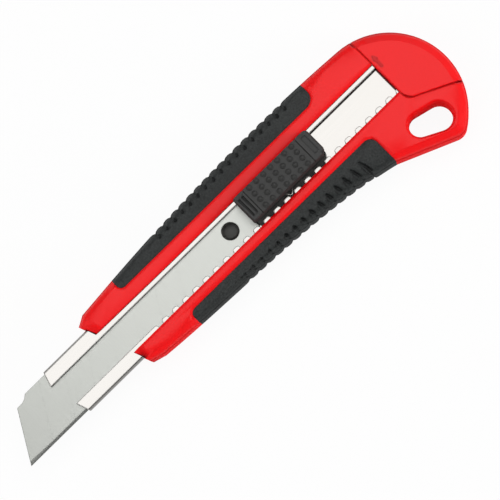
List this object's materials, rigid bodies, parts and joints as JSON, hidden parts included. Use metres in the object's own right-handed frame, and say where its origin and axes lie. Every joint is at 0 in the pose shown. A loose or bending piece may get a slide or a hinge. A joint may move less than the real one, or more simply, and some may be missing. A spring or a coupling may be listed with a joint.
{
  "type": "snap-off utility knife",
  "caption": "Snap-off utility knife: moulded handle with two soft grips, a steel channel with a toothed ratchet lip, a sliding blade carrier and an end cap that slides off.",
  "frame": {"origin": "on the handle's flat back face, on the blade's centreline, halfway along the handle", "axes": "+X from the blade's tip to the tail, +Y towards the spine, +Z out through the face with the slider"},
  "size_m": [0.1853, 0.0482, 0.0199],
  "materials": {
    "red_shell": "moulded red plastic, satin",
    "soft_grip": "black soft overmoulding, fine matte grain",
    "channel_steel": "stamped sheet steel, bright",
    "blade_steel": "hardened blade steel, fine grind marks",
    "slider_plastic": "black moulded plastic",
    "pad_rubber": "dark grey textured insert",
    "spring_steel": "spring steel strip"
  },
  "bodies": {
    "handle": {"body_shell": "red_shell", "spine_grip": "soft_grip", "edge_grip": "soft_grip", "blade_channel": "channel_steel"},
    "carriage": {"blade": "blade_steel", "blade_carrier": "slider_plastic", "slider_button": "slider_plastic", "thumb_pad": "pad_rubber", "ratchet_spring": "spring_steel"},
    "cap": {"end_cap": "red_shell"}
  },
  "joints": [
    {"name": "slider_travel", "type": "slide", "parent": "handle", "child": "carriage", "axis": [1, 0, 0], "range_m": [-0.05876, 0.02712], "deforming": ["ratchet_spring"]},
    {"name": "end_cap_slide", "type": "slide", "parent": "handle", "child": "cap", "axis": [0, 1, 0], "range_m": [0, 0.036]}
  ]
}
